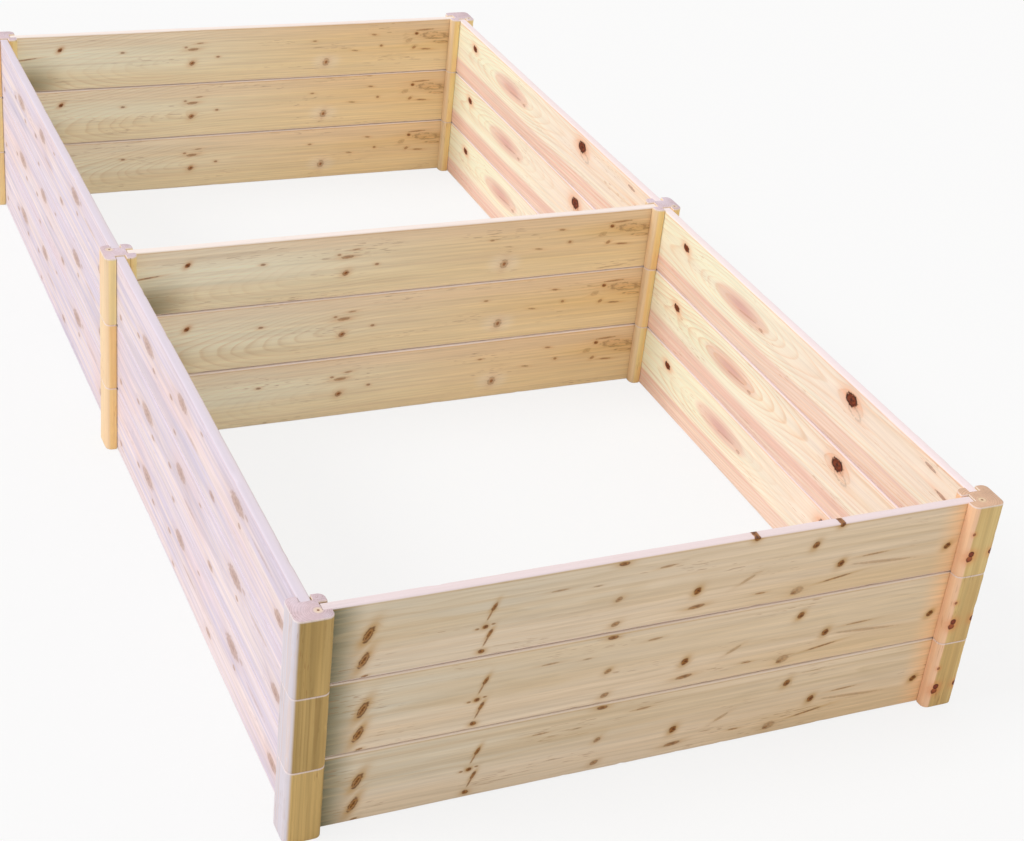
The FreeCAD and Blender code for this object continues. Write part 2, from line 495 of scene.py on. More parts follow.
def new_group(name, inputs, outputs):
    tree = bpy.data.node_groups.new(name, "ShaderNodeTree")
    for label in inputs:
        kind = "NodeSocketVector" if label == "Grain" else "NodeSocketFloat"
        tree.interface.new_socket(label, in_out="INPUT", socket_type=kind)
    for label in outputs:
        tree.interface.new_socket(label, in_out="OUTPUT", socket_type="NodeSocketFloat")
    given = tree.nodes.new("NodeGroupInput").outputs
    made = tree.nodes.new("NodeGroupOutput").inputs
    return tree, Recipe(tree), given, made


# Noise in the wood: cells a metre along the grain, up the face and into the wood.
SLOW_BEND = (1.6, 11, 11)
RIPPLE = (12, 60, 60)
STRONG_RINGS = (1.3, 18, 18)
TONE = (1.7, 22, 22)
BLUSH = (2.3, 9, 9)
STREAK = (1.1, 85, 85)
FINE_FIBRE = (14, 600, 600)
BROAD_FIBRE = (4, 190, 190)
DASHES = (46, 560, 560)
DASH_CROWDS = (6, 34, 34)
KNOT_EDGE = (150, 200, 200)
KNOT_RIM_GAPS = (110, 150, 150)
POST_KNOT_EDGE = (170, 170, 170)


def growth_group():
    """Growth rings and fibres from the distance to the pith.
    The distance is wandered by slow noise along the grain, so that flat faces show arches and
    quartered faces show lines. A ring's number is that distance over the ring width, and the late
    wood is a ramp over its fraction: slow up to the dark line, then a sharp fall.
    Late: the dark late wood of each ring. Tone, Blush: slow drifts of colour. Streak: long bands.
    Fibre: fine lines. Fleck: short brown resin dashes."""
    inputs = ("Grain", "Distance", "Seed", "Ring width", "Wander")
    outputs = ("Late", "Tone", "Blush", "Streak", "Fibre", "Fleck")
    tree, r, given, made = new_group("growth", inputs, outputs)
    shift = r.vector(r.times(given["Seed"], 11.0), r.times(given["Seed"], 5.0),
                     r.times(given["Seed"], 3.0))
    spot = r.node("ShaderNodeVectorMath", {0: given["Grain"], 1: shift}, operation="ADD").outputs[0]
    slow = r.minus(r.noise(spot, SLOW_BEND, 1), 0.5)
    ripple = r.minus(r.noise(spot, RIPPLE), 0.5)
    distance = r.add(given["Distance"], r.times(slow, given["Wander"]),
                     r.times(ripple, given["Wander"], 0.18))
    # good and poor years: rings of uneven width
    uneven = r.noise(r.vector(distance, given["Seed"], 0.0), (120, 9, 1))
    rings = r.math("DIVIDE", r.math("MULTIPLY_ADD", uneven, 0.006, distance), given["Ring width"])
    year = ((0.0, 0.0), (0.35, 0.05), (0.66, 0.35), (0.86, 1.0), (0.94, 0.7), (1.0, 0.0))
    late = r.curve(r.math("FRACT", rings), year)
    strong = r.step(r.noise(spot, STRONG_RINGS, 1), 0.28, 0.72, 0.75)
    r.feed(made["Late"], r.times(late, r.add(strong, 0.25)))
    r.feed(made["Tone"], r.noise(spot, TONE, 2, 0.55))
    r.feed(made["Blush"], r.noise(spot, BLUSH, 1))
    r.feed(made["Streak"], r.noise(spot, STREAK, 1, 0.55))
    fine = r.noise(spot, FINE_FIBRE, 1, 0.6)
    broad = r.noise(spot, BROAD_FIBRE)
    r.feed(made["Fibre"], r.add(r.times(fine, 0.5), r.times(broad, 0.5)))
    dash = r.step(r.noise(spot, DASHES), 0.66, 0.76)
    crowd = r.step(r.noise(spot, DASH_CROWDS), 0.55, 0.72)
    r.feed(made["Fleck"], r.times(dash, crowd))
    return tree


KNOT_INPUTS = ("Along", "Up", "Rough", "Ragged", "At along", "At up", "Half along", "Half up",
               "Rise", "Turn", "Dark", "Open", "Ring")
KNOT_FEATURES = ("Core", "Rim", "Heart", "Halo", "Lift")


def knot_group():
    """One knot: an uneven oval on the face, with a broken dark rim, a dark heart and a warm halo
    drawn out along the grain. x and y are the turned steps from its middle over its half sizes,
    so their length is 1 on its outline, and each feature is a step or a bell curve of that
    length, as is the lift of the growth rings. Open knots keep the rim alone, round plain wood."""
    tree, r, given, made = new_group("knot", KNOT_INPUTS, KNOT_FEATURES)
    dx = r.minus(given["Along"], given["At along"])
    dy = r.minus(given["Up"], given["At up"])
    c, s = r.math("COSINE", given["Turn"]), r.math("SINE", given["Turn"])
    x = r.math("DIVIDE", r.add(r.times(dx, c), r.times(dy, s)), given["Half along"])
    y = r.math("DIVIDE", r.minus(r.times(dy, c), r.times(dx, s)), given["Half up"])
    away = r.length(x, y)
    rough = r.math("MULTIPLY_ADD", r.minus(given["Rough"], 0.5), 0.6, away)
    whole = r.times(given["Dark"], r.minus(1.0, given["Open"]))
    r.feed(made["Core"], r.times(r.step(rough, 1.20, 0.72), whole))
    broken = r.step(given["Ragged"], 0.24, 0.50)
    r.feed(made["Rim"], r.times(r.hump(rough, 0.90, 0.19), broken, given["Dark"], given["Ring"]))
    r.feed(made["Heart"], r.times(r.hump(rough, 0.0, 0.42), whole))
    halo = r.length(r.times(x, 0.52), r.times(y, 0.62))
    r.feed(made["Halo"], r.times(r.hump(halo, 0.0, 1.0), given["Dark"]))
    r.feed(made["Lift"], r.times(r.hump(away, 0.0, 1.7), given["Rise"]))
    return tree


GROWTH = growth_group()
KNOT = knot_group()


def read_wood(r):
    """The grain frame and the piece's own numbers, from the mesh."""
    grain = r.node("ShaderNodeAttribute", attribute_name="grain").outputs["Vector"]
    piece = r.node("ShaderNodeAttribute", attribute_name="piece").outputs["Vector"]
    g = r.node("ShaderNodeSeparateXYZ", {0: grain}).outputs
    p = r.node("ShaderNodeSeparateXYZ", {0: piece}).outputs
    return grain, g[0], g[1], g[2], p[0], p[1], p[2]


def grow(r, grain, distance, seed, ring_width, wander):
    """The growth outputs for one face. ring_width, wander : in mm"""
    values = {"Grain": grain, "Distance": distance, "Seed": seed,
              "Ring width": ring_width / 1000, "Wander": wander / 1000}
    return r.node("ShaderNodeGroup", values, node_tree=GROWTH).outputs


def gather_knots(r, grain, along, up, knots, ring):
    """Joins all the knots of a face: the darkest core, rim, heart and halo, and the sum of the
    lifts. Gives them with the noise that roughens the cores.
    ring : how strong the dark rim of a sound knot is; an open knot always has a whole one."""
    rough = r.noise(grain, KNOT_EDGE, 1)
    ragged = r.noise(grain, KNOT_RIM_GAPS)
    joined = None
    for at_along, at_up, half_along, half_up, turn, dark, rise, is_open in knots:
        metres = [mm / 1000 for mm in (at_along, at_up, half_along, half_up, rise)]
        values = [along, up, rough, ragged, *metres, math.radians(turn), dark, is_open,
                  ring + (1 - ring) * is_open]
        made = r.node("ShaderNodeGroup", dict(zip(KNOT_INPUTS, values)), node_tree=KNOT)
        fresh = [made.outputs[key] for key in KNOT_FEATURES]
        if joined is None:
            joined = fresh
        else:
            joined = [r.math("ADD" if key == "Lift" else "MAXIMUM", old, new)
                      for key, old, new in zip(KNOT_FEATURES, joined, fresh)]
    return joined, rough


def finish_wood(r, colour, height, tree, roughness=0.62):
    """The shader itself: matt planed softwood, with its fibres a hair proud."""
    bump = r.node("ShaderNodeBump", {"Height": height, "Strength": 0.30, "Distance": 0.0005})
    shader = r.node("ShaderNodeBsdfPrincipled",
                    {"Base Color": colour, "Roughness": roughness, "Normal": bump.outputs[0],
                     "Specular IOR Level": 0.25})
    output = r.node("ShaderNodeOutputMaterial")
    tree.links.new(shader.outputs[0], output.inputs["Surface"])


def new_material(name):
    material = bpy.data.materials.new(name)
    material.use_nodes = True
    material.node_tree.nodes.clear()
    return material, Recipe(material.node_tree)


def board_wood(name, look):
    """Planed pine for one kind of board. look holds:
    rings : works out the distance from the pith, from the recipe, along, up and deep
    ring_width, wander : in mm
    ground : lays the plain wood's colours, from the recipe, along, up, deep and the growth outputs
    late, late_share, fleck, fleck_share : colours and strengths of the ring lines and resin dashes
    knots : see below; ring : strength of a sound knot's rim
    core, core_light, rim, halo, halo_share : colours of the knots
    top : pale colour painted on the top edge as a sunlit face, and on the bottom rounding"""
    material, r = new_material(name)
    grain, along, up, deep, seed = read_wood(r)[:5]
    (core, rim, heart, halo, lift), rough = gather_knots(r, grain, along, up, look["knots"],
                                                         look["ring"])
    distance = r.minus(look["rings"](r, along, up, deep), lift)
    g = grow(r, grain, distance, seed, look["ring_width"], look["wander"])
    colour = look["ground"](r, along, up, deep, g)
    colour = r.mix(r.times(g["Late"], look["late_share"]), colour, look["late"])
    colour = r.shade(colour, r.math("MULTIPLY_ADD", g["Fibre"], 0.42, 0.79))
    colour = r.mix(r.times(g["Fleck"], look["fleck_share"]), colour, look["fleck"])
    # knots, from the halo inwards
    streaky = r.math("MULTIPLY_ADD", g["Fibre"], 1.2, 0.4)
    colour = r.mix(r.times(halo, look["halo_share"], streaky), colour, look["halo"])
    inner = r.mix(r.step(rough, 0.30, 0.66), look["core"], look["core_light"])
    colour = r.mix(core, colour, inner)
    colour = r.mix(r.times(heart, 0.8), colour, look["rim"])
    colour = r.mix(rim, colour, look["rim"])
    # the top edge is painted pale, in the colour of a sunlit top face; the paint ends raggedly just
    # below the rounding, with a brown line under it
    plain = r.minus(1.0, r.math("MAXIMUM", rim, core))
    ragged_up = r.math("MULTIPLY_ADD", r.minus(g["Blush"], 0.5), 0.003, up)
    brown_line = r.hump(ragged_up, BOARD_HEIGHT - 0.0035, 0.0012)
    colour = r.mix(r.times(brown_line, plain, 0.35), colour, look["halo"])
    top = r.step(ragged_up, BOARD_HEIGHT - 0.0024, BOARD_HEIGHT - 0.0008, 0.90)
    # the painted sunlit colour is uneven along the fibres
    worn = r.math("MULTIPLY_ADD", g["Fibre"], 0.5, 0.72)
    colour = r.mix(r.times(top, plain, worn), colour, look["top"])
    # painted highlight: the bottom rounding is painted pale too, to lighten the shade in the seam
    # between tiers
    colour = r.mix(r.step(up, 0.0032, 0.0010, 0.6), colour, look["top"])
    finish_wood(r, colour, g["Fibre"], material.node_tree)
    return material


def front_rings(r, along, up, deep):
    """Long slack arches: the pith lies 75 mm behind the face, level with the upper half."""
    return r.length(r.minus(up, 0.080), r.add(deep, 0.075))


def front_ground(r, along, up, deep, g):
    """Grey-green at the left end, tan to the right, paler and pinker in a strip along the foot; on
    the outer face, a painted orange reflection near the right post and a painted shadow beside the
    left post.
    """
    colour = r.mix(r.step(along, 0.05, 0.75), paint(222, 211, 190), paint(233, 211, 182))
    colour = r.mix(r.step(g["Tone"], 0.35, 0.65, 0.6), colour, paint(224, 200, 164))
    colour = r.mix(r.step(g["Streak"], 0.52, 0.68, 0.35), colour, paint(206, 178, 138))
    foot = r.math("MULTIPLY_ADD", g["Blush"], 0.030, up)
    colour = r.mix(r.step(foot, 0.082, 0.056, 0.5), colour, paint(240, 216, 188))
    colour = r.mix(r.times(r.hump(foot, 0.080, 0.008), 0.25), colour, paint(210, 180, 140))
    colour = r.mix(r.times(r.step(along, 0.55, 0.95), r.step(foot, 0.075, 0.040), 0.45), colour,
                   paint(222, 186, 130))
    outside = r.step(deep, 0.012, 0.006)
    # painted reflection: warm orange light thrown off the right post onto the outer face near its
    # end
    colour = r.mix(r.times(r.step(along, 1.062, 1.116, 0.75), outside), colour,
                   paint(255, 206, 154))
    # painted shadow that the left post casts on the outer face beside it
    return r.mix(r.times(r.step(along, 0.074, 0.014, 0.95), outside), colour, paint(128, 125, 98))


def cross_rings(r, along, up, deep):
    """A tongue of rings with its tip at the left; to its right they run on, climbing a little."""
    middle = r.step(along, 0.15, 0.55, 0.034)
    rise = r.step(along, 0.48, 0.02, 0.060)
    return r.length(r.minus(up, r.add(middle, 0.040)), r.add(deep, rise, 0.012))


def cross_ground(r, along, up, deep, g):
    """Greyer and paler at the left end, partly painted light that offsets the left boards' shadow
    there; orange-tan at the right, pinker above and yellower below; a painted shadow in the lower
    left corner of the face.
    """
    # partly painted light: the left end is paler, to offset the shadow that the left boards cast
    # there
    colour = r.mix(r.step(along, 0.05, 1.05), paint(255, 254, 234), paint(242, 210, 154))
    colour = r.mix(r.times(r.step(g["Tone"], 0.35, 0.65, 0.45), r.step(along, 0.0, 0.45)), colour,
                   paint(240, 216, 182))
    foot = r.math("MULTIPLY_ADD", g["Blush"], 0.035, up)
    colour = r.mix(r.step(foot, 0.085, 0.045, 0.45), colour, paint(250, 230, 186))
    colour = r.mix(r.step(up, 0.085, 0.130, 0.35), colour, paint(244, 214, 188))
    colour = r.mix(r.step(g["Streak"], 0.54, 0.70, 0.18), colour, paint(216, 188, 156))
    halo = r.length(r.times(r.minus(along, 0.786), 22.0), r.times(r.minus(up, 0.040), 38.0))
    colour = r.mix(r.step(halo, 1.1, 0.3, 0.55), colour, paint(252, 238, 214))
    # painted shadow in the lower left corner of the face
    corner = r.times(r.step(along, 0.150, 0.030), r.step(up, 0.105, 0.010),
                     r.step(deep, 0.012, 0.006))
    return r.mix(r.times(corner, 0.85), colour, paint(124, 122, 94))


def right_rings(r, along, up, deep):
    """Nested ovals round a heart 770 mm along, that open out into long flames towards both ends."""
    reach = r.minus(1.0, r.hump(along, 0.770, 0.185))
    drift = r.times(r.minus(along, 0.770), -0.035)
    return r.length(r.minus(up, r.add(drift, 0.088)), r.add(deep, r.times(reach, 0.042), 0.006))


def right_ground(r, along, up, deep, g):
    """Cream above; below a soft line 42 mm up, a pink band of painted shadow, with a painted
    highlight along its top; one mauve-pink heart.
    """
    colour = r.mix(r.step(along, 0.95, 0.35), paint(255, 255, 230), paint(254, 240, 226))
    colour = r.mix(r.step(g["Streak"], 0.48, 0.70, 0.40), colour, paint(254, 232, 204))
    colour = r.mix(r.step(g["Tone"], 0.46, 0.72, 0.35), colour, paint(254, 236, 220))
    # painted shadow: the pink band below a soft line 42 mm up stands for a shadow cast across the
    # face
    edge = r.math("MULTIPLY_ADD", r.minus(g["Blush"], 0.5), 0.014, up)
    painted_shadow_pink = r.mix(r.step(g["Streak"], 0.40, 0.62), paint(250, 224, 210), paint(244, 206, 194))
    colour = r.mix(r.step(edge, 0.048, 0.036, 0.95), colour, painted_shadow_pink)
    # painted highlight along the top of the painted shadow band
    colour = r.mix(r.times(r.hump(edge, 0.052, 0.007), 0.55), colour, paint(255, 250, 232))
    oval = r.length(r.math("DIVIDE", r.minus(along, 0.768), 0.108),
                    r.math("DIVIDE", r.minus(up, 0.088), 0.0235))
    colour = r.mix(r.step(oval, 1.12, 0.80, 0.85), colour, paint(246, 216, 200))
    return r.mix(r.step(oval, 0.85, 0.10, 0.80), colour, paint(226, 178, 172))


def left_rings(r, along, up, deep):
    """Almost straight lines: the pith lies 60 mm behind the face."""
    return r.length(r.minus(up, 0.070), r.add(deep, 0.060))


def left_ground(r, along, up, deep, g):
    """Outer face in long streaks of cream, lavender and pink, painted in the cool colours of a
    sunlit face; a warmer inner face, in the colour of a face in shade.
    """
    colour = r.mix(r.step(g["Streak"], 0.36, 0.62), paint(224, 213, 228), paint(242, 226, 224))
    colour = r.mix(r.step(g["Blush"], 0.46, 0.66, 0.45), colour, paint(240, 210, 206))
    colour = r.mix(r.step(g["Tone"], 0.48, 0.32, 0.60), colour, paint(206, 196, 212))
    colour = r.mix(r.step(up, 0.085, 0.125, 0.35), colour, paint(226, 214, 228))
    # the outer face is painted as lit, the inner face in the warmer colour of a face in shade
    return r.mix(r.step(deep, 0.010, 0.017), colour, paint(244, 222, 190))


# Knots, in mm: (along, up, half length, half height, turn in degrees, darkness from 0 to 1,
# how far it lifts the rings, how open from 0 to 1)
FRONT_KNOTS = (
    (72, 80, 15, 6.0, 62, 0.95, 7, 0.45), (72, 80, 8, 1.8, 62, 0.90, 0, 0.0),
    (68, 34, 15, 5.5, 62, 0.95, 6, 0.45), (68, 34, 8, 1.8, 62, 0.90, 0, 0.0),
    (71, 4, 5, 2, 10, 0.6, 1, 0.0),
    (271, 92, 8, 3.2, 62, 0.85, 3, 0.1), (265, 78, 9, 1.6, 66, 0.50, 2, 0.0),
    (259, 57, 4.5, 3.6, 10, 0.90, 3, 0.1),
    (268, 43, 8, 3.0, 62, 0.80, 3, 0.1), (263, 30, 9, 1.6, 66, 0.50, 2, 0.0),
    (257, 11, 5, 3.8, 5, 0.90, 3, 0.1), (272, 60, 3.4, 1.6, 0, 0.5, 0, 0.0),
    (246, 55, 3.4, 1.8, 0, 0.5, 0, 0.0),
    (483, 64, 6, 4.0, 30, 0.55, 3, 0.2), (483, 16, 7, 4.0, 20, 0.60, 3, 0.2),
    (483, 131, 9, 3.6, 0, 0.75, 3, 0.0),
    (379, 101, 15, 1.6, 2, 0.35, 1, 0.0), (443, 97, 8, 1.4, 2, 0.30, 1, 0.0),
    (623, 53, 7, 5.5, 50, 0.95, 8, 0.0), (626, 22, 14, 3.4, 6, 0.60, 3, 0.0),
    (712, 58, 14, 2.6, 28, 0.32, 2, 0.3),
    (742, 26, 9, 1.6, 0, 0.5, 0, 0.0), (831, 104, 7, 5.0, 50, 0.85, 6, 0.0),
    (887, 58, 7, 5.5, 45, 0.90, 8, 0.0),
    (884, 30, 28, 1.6, 8, 0.55, 1, 0.0), (970, 48, 58, 2.6, -4, 0.24, 2, 0.0),
    (1096, 56, 7, 5.0, 40, 0.90, 7, 0.0),
    (812, 18, 11, 7, 15, 0.34, 4, 0.0), (806, 14, 5, 3.6, 20, 0.55, 0, 0.0),
    (560, 112, 12, 2.0, 4, 0.40, 1, 0.0), (950, 66, 22, 1.6, 2, 0.40, 1, 0.0),
)
FRONT_EDGE_KNOTS = ((717, 137, 6, 5.0, 20, 0.95, 0, 0.0), (875, 137, 6, 5.0, 30, 0.95, 0, 0.0))
CROSS_KNOTS = (
    (115, 102, 6, 4, 40, 0.90, 7, 0.0), (35, 82, 24, 1.5, 6, 0.5, 1, 0.0),
    (266, 88, 5, 2.4, 0, 0.5, 2, 0.0),
    (504, 66, 4, 2.6, 0, 0.5, 2, 0.0), (439, 53, 7, 5.5, 30, 0.65, 8, 0.2),
    (439, 53, 3.5, 2.6, 30, 0.9, 0, 0.0),
    (441, 88, 13, 3.2, 4, 0.55, 4, 0.2), (458, 103, 9, 1.8, 4, 0.4, 2, 0.0),
    (423, 94, 4, 2.4, 0, 0.45, 1, 0.0),
    (786, 38, 10, 8.0, 60, 0.40, 10, 0.2), (786, 38, 4, 3.4, 60, 0.75, 0, 0.0),
    (754, 95, 5, 2.0, 0, 0.42, 3, 0.0),
    (862, 65, 8, 1.8, -5, 0.34, 3, 0.0), (912, 105, 7, 2.2, -6, 0.42, 3, 0.0),
    (933, 75, 3.6, 2.8, 0, 0.5, 2, 0.0),
    (1028, 103, 4.4, 3.8, 0, 0.80, 7, 0.0), (1023, 66, 5, 3.4, 30, 0.45, 5, 0.0),
    (1008, 86, 9, 5, 20, 0.22, 4, 0.2),
    (1078, 96, 34, 9, -3, 0.42, 3, 1.0), (1092, 92, 26, 3.6, -3, 0.40, 2, 1.0),
    (1096, 78, 20, 3.0, -3, 0.40, 1, 1.0),
    (1055, 60, 14, 2, -3, 0.45, 0, 0.0), (1050, 112, 22, 2, 2, 0.45, 1, 0.0),
)
RIGHT_KNOTS = (
    (1008, 103, 11, 7.0, 10, 1.0, 7, 0.0), (361, 109, 18, 12.5, 0, 1.0, 11, 0.0),
    (346, 92, 24, 9, 12, 0.24, 3, 1.0),
    (56, 88, 26, 3.2, 4, 0.40, 2, 0.0), (742, 82, 34, 1.6, -3, 0.20, 0, 0.3),
    (688, 79, 7, 3.0, 0, 0.30, 1, 0.3),
    (110, 120, 16, 3.0, 3, 0.35, 2, 0.0),
)
LEFT_KNOTS = (
    (312, 106, 36, 13, 0, 0.58, 8, 0.0), (262, 112, 9, 4, 0, 0.35, 2, 0.0),
    (85, 47, 24, 11, 0, 0.60, 8, 0.0),
    (452, 32, 16, 6, 0, 0.55, 5, 0.0), (644, 98, 30, 12, 0, 0.55, 8, 0.0),
    (876, 82, 38, 13, 0, 0.55, 8, 0.0),
    (835, 55, 10, 4, 0, 0.60, 3, 0.0), (946, 68, 11, 4, 0, 0.60, 3, 0.0),
    (1085, 32, 9, 5, 0, 0.6, 4, 0.0),
    (718, 68, 10, 4, 0, 0.60, 4, 0.0), (298, 74, 7, 4, 0, 0.60, 3, 0.0),
    (690, 14, 10, 4, 0, 0.50, 3, 0.0),
    (580, 60, 40, 4, 0, 0.25, 2, 0.0), (180, 96, 50, 4, 0, 0.22, 2, 0.0),
    (520, 110, 9, 3, 0, 0.5, 2, 0.0),
)

# top, in each look: the pale colour painted on the top edge as its sunlit face
FRONT_LOOK = dict(
    rings=front_rings, ring_width=6.5, wander=24, knots=FRONT_KNOTS, ring=0.45, ground=front_ground,
    late=paint(206, 180, 140), late_share=0.38, fleck=paint(156, 104, 54), fleck_share=0.45,
    core=paint(112, 58, 20), core_light=paint(172, 112, 48), rim=paint(80, 40, 12),
    halo=paint(188, 138, 58), halo_share=0.88,
    top=paint(242, 226, 231))
FRONT_BOARD = board_wood("pine, front board", {**FRONT_LOOK, "top": paint(238, 221, 206)})
TOP_FRONT_BOARD = board_wood("pine, top front board",
                             {**FRONT_LOOK, "knots": FRONT_KNOTS + FRONT_EDGE_KNOTS})
CROSS_BOARD = board_wood("pine, inner cross board", dict(
    rings=cross_rings, ring_width=6.0, wander=16, knots=CROSS_KNOTS, ring=0.45, ground=cross_ground,
    late=paint(212, 180, 138), late_share=0.38, fleck=paint(150, 100, 60), fleck_share=0.4,
    core=paint(112, 58, 30), core_light=paint(176, 112, 60), rim=paint(108, 56, 22),
    halo=paint(206, 144, 70), halo_share=0.85,
    top=paint(252, 240, 236)))
RIGHT_BOARD = board_wood("pine, right board", dict(
    rings=right_rings, ring_width=7.0, wander=9, knots=RIGHT_KNOTS, ring=1.0, ground=right_ground,
    late=paint(234, 186, 140), late_share=0.46, fleck=paint(190, 130, 70), fleck_share=0.35,
    core=paint(112, 44, 24), core_light=paint(150, 70, 38), rim=paint(48, 22, 14),
    halo=paint(240, 158, 104), halo_share=0.80,
    top=paint(248, 232, 236)))
LEFT_BOARD = board_wood("pine, left board", dict(
    rings=left_rings, ring_width=9.0, wander=16, knots=LEFT_KNOTS, ring=0.25, ground=left_ground,
    late=paint(200, 188, 204), late_share=0.45, fleck=paint(170, 146, 146), fleck_share=0.35,
    core=paint(168, 132, 114), core_light=paint(200, 166, 146), rim=paint(158, 122, 106),
    halo=paint(222, 194, 182),
    halo_share=0.75, top=paint(228, 218, 230)))


def post_wood(name, knots=()):
    """Planed pine posts: upright grain, curved rings and a brown pith on the ends, a lit left side.
    knots : (up the post, across, back from the pith, half size, darkness), in mm"""
    material, r = new_material(name)
    grain, along, across, back, seed, sun, tint = read_wood(r)
    normal = r.node("ShaderNodeNewGeometry").outputs["True Normal"]
    face = r.node("ShaderNodeSeparateXYZ", {0: normal}).outputs
    end = r.step(r.math("ABSOLUTE", face[2]), 0.75, 0.95)
    distance = r.length(across, back)
    g = grow(r, grain, distance, seed, 3.6, 5)
    sun = r.times(r.step(sun, 0.0, 1.0), r.minus(1.0, r.step(tint, 0.5, 0.9, 0.45)))
    dark_wood = r.mix(r.step(g["Tone"], 0.35, 0.65), paint(212, 178, 114), paint(186, 154, 94))
    light_wood = r.mix(r.step(g["Tone"], 0.35, 0.65), paint(255, 232, 168), paint(255, 214, 146))
    colour = r.mix(tint, dark_wood, light_wood)
    colour = r.mix(r.step(g["Streak"], 0.48, 0.62, 0.5), colour,
                   r.shade(colour, r.math("MULTIPLY_ADD", tint, 0.18, 0.70)))
    lit = r.mix(r.step(tint, 0.0, 0.4), paint(220, 216, 228), paint(255, 208, 172))
    lit = r.mix(r.step(tint, 0.5, 0.9), lit, paint(238, 214, 196))
    colour = r.mix(r.times(sun, 0.9), colour, lit)
    pale = r.math("MAXIMUM", tint, sun)
    line = r.mix(pale, paint(142, 108, 56), paint(238, 186, 128))
    colour = r.mix(r.times(g["Late"], r.math("MULTIPLY_ADD", pale, -0.18, 0.45)), colour, line)
    sawn = r.mix(r.step(g["Tone"], 0.35, 0.65), paint(228, 210, 220), paint(220, 196, 202))
    sawn = r.mix(r.hump(tint, 0.42, 0.15), sawn, paint(226, 186, 156))
    sawn = r.mix(r.times(g["Late"], 0.85), sawn, r.shade(sawn, 0.64))
    sawn = r.mix(r.step(distance, 0.0095, 0.0040, 0.6), sawn, paint(244, 222, 186))
    sawn = r.mix(r.step(distance, 0.0032, 0.0010, 0.9), sawn, paint(132, 78, 36))
    colour = r.mix(r.step(along, TIER - 0.0034, TIER - 0.0014, 0.7), colour, paint(240, 226, 224))
    colour = r.mix(end, colour, sawn)
    colour = r.shade(colour, r.math("MULTIPLY_ADD", g["Fibre"], 0.30, 0.85))
    colour = r.mix(r.times(g["Fleck"], 0.4), colour, paint(140, 88, 44))
    rough = r.noise(grain, POST_KNOT_EDGE, 1)
    for height, sideways, inward, size, dark in knots:
        off = r.length(r.minus(across, sideways / 1000), r.minus(back, inward / 1000))
        off = r.length(off, r.minus(along, height / 1000))
        off = r.math("MULTIPLY_ADD", r.minus(rough, 0.5), 0.7, r.math("DIVIDE", off, size / 1000))
        colour = r.mix(r.times(r.hump(off, 0.0, 2.2), 0.55), colour, paint(226, 132, 70))
        colour = r.mix(r.step(off, 1.2, 0.75, dark), colour, paint(128, 50, 30))
        colour = r.mix(r.times(r.hump(off, 0.9, 0.2), dark), colour, paint(84, 34, 20))
    finish_wood(r, colour, g["Fibre"], material.node_tree)
    return material


def pin_wood():
    """Turned hardwood dowel: plain, straight and tan."""
    material, r = new_material("beech, dowel pin")
    grain, _, across, back, seed = read_wood(r)[:5]
    g = grow(r, grain, r.length(across, back), seed, 1.8, 2)
    colour = r.mix(g["Tone"], paint(226, 192, 150), paint(212, 174, 130))
    colour = r.mix(r.times(g["Late"], 0.25), colour, paint(184, 140, 96))
    colour = r.mix(r.times(g["Fleck"], 0.5), colour, paint(150, 106, 66))
    finish_wood(r, colour, g["Fibre"], material.node_tree, 0.5)
    return material


POST_WOOD = post_wood("pine, post")
KNOTTY_POST_WOOD = post_wood("pine, post with knots", (
    (36, -13, -20.6, 5.6, 0.95), (46, -11, -20.8, 5.0, 0.95), (46, 28, -20, 5.0, 0.9),
    (86, -15, -20.4, 2.6, 0.6)))
PIN_WOOD = pin_wood()

# ---- The bed ----

CROSS_NODE = {"front": "front_board", "centre": "divider_board", "back": "back_board"}
CROSS_LOOK = {"front": FRONT_BOARD, "centre": CROSS_BOARD, "back": CROSS_BOARD}
SIDE_LOOK = {"left": LEFT_BOARD, "right": RIGHT_BOARD}
WORN_NOTCH = {"left": ((0.337, 0.013, 0.0035),), "right": ()}
HALF_LENGTH = BOARD_LENGTH / 2
HALF_THICK = BOARD_THICK / 2
seed = 100
for tier, tier_name in enumerate(TIERS):
    base = tier * TIER
    for row, y in ROW_Y.items():
        seed += 1
        look = TOP_FRONT_BOARD if (tier_name, row) == ("top", "front") else CROSS_LOOK[row]
        make_board(f"{tier_name}_{CROSS_NODE[row]}", True, (-HALF_LENGTH, y - HALF_THICK, base),
                   seed, look)
    for side, x in SIDE_X.items():
        for bay, y in (("front", -POST_SPACING / 2), ("back", POST_SPACING / 2)):
            seed += 1
            make_board(f"{tier_name}_{bay}_bay_{side}_board", False,
                       (x - HALF_THICK, y - HALF_LENGTH, base), seed,
                       SIDE_LOOK[side], WORN_NOTCH[side])

INWARD = {"left": (1, 0), "right": (-1, 0)}
ALONG = {"front": ((0, 1),), "centre": ((0, -1), (0, 1)), "back": ((0, -1),)}
FAR_PITH = {"left": (-0.014, 0.012), "right": (0.019, -0.016)}
PITH = {("front", "left"): (0.010, -0.009), ("front", "right"): (-0.004, -0.010)}
POST_TINT = {("front", "left"): 0.0, ("front", "right"): 0.40}
LIT_FROM = {("front", "right"): 0.017}
for tier, tier_name in enumerate(TIERS):
    for row, y in ROW_Y.items():
        for side, x in SIDE_X.items():
            seed += 1
            look = KNOTTY_POST_WOOD if (row, side) == ("front", "right") else POST_WOOD
            make_post(f"{tier_name}_{row}_{side}_post", (INWARD[side],) + ALONG[row],
                      (x, y, tier * TIER), seed,
                      PITH.get((row, side), FAR_PITH[side]), LIT_FROM.get((row, side), 0.022),
                      POST_TINT.get((row, side), 1.0),
                      (tier > 0, tier < 2), look)
for joint, height in (("lower", TIER), ("upper", 2 * TIER)):
    for row, y in ROW_Y.items():
        for side, x in SIDE_X.items():
            seed += 1
            make_pin(f"{joint}_{row}_{side}_dowel", (x, y, height), seed, PIN_WOOD)

